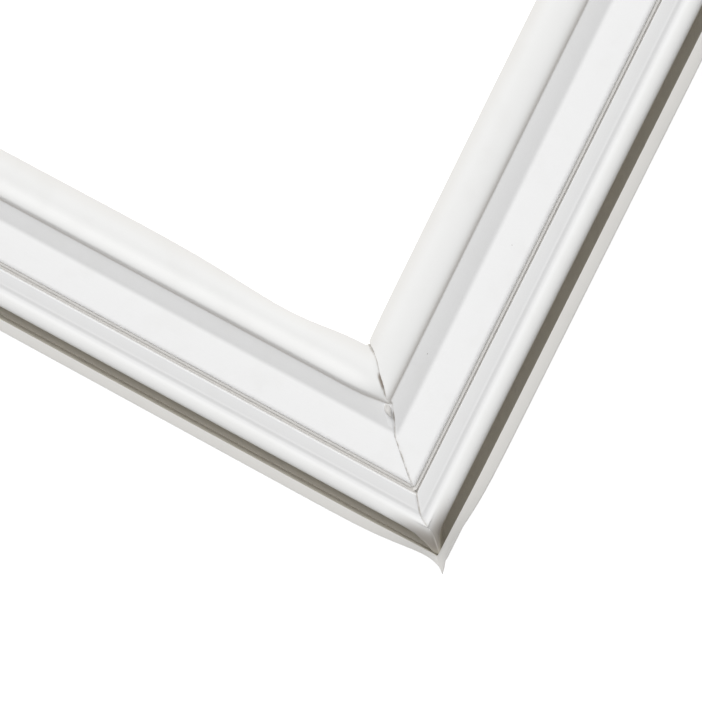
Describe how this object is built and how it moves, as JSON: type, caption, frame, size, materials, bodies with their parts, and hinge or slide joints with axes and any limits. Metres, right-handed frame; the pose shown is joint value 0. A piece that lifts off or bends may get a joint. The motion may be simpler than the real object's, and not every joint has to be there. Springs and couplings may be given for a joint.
{
  "type": "refrigerator door gasket",
  "caption": "White magnetic door seal: a mitre-welded loop of hollow soft profile with a wide inner flap, a flat magnet sleeve, a rounded outer lobe, a thin outer fin and a push-in dart on its back.",
  "frame": {"origin": "middle of the loop, at the height of the flat tip of the dart that it lies on", "axes": "+Z out of the sealing side, towards the cabinet; +Y along the loop's long sides; +X along its short sides"},
  "size_m": [0.57, 0.65, 0.017],
  "materials": {
    "soft_pvc": "soft white PVC, satin",
    "magnet_rubber": "matt ferrite-filled rubber"
  },
  "bodies": {
    "root": {"door_gasket_profile": "soft_pvc", "magnet_strip_bottom": "magnet_rubber", "magnet_strip_left": "magnet_rubber", "magnet_strip_top": "magnet_rubber", "magnet_strip_right": "magnet_rubber"}
  },
  "joints": []
}
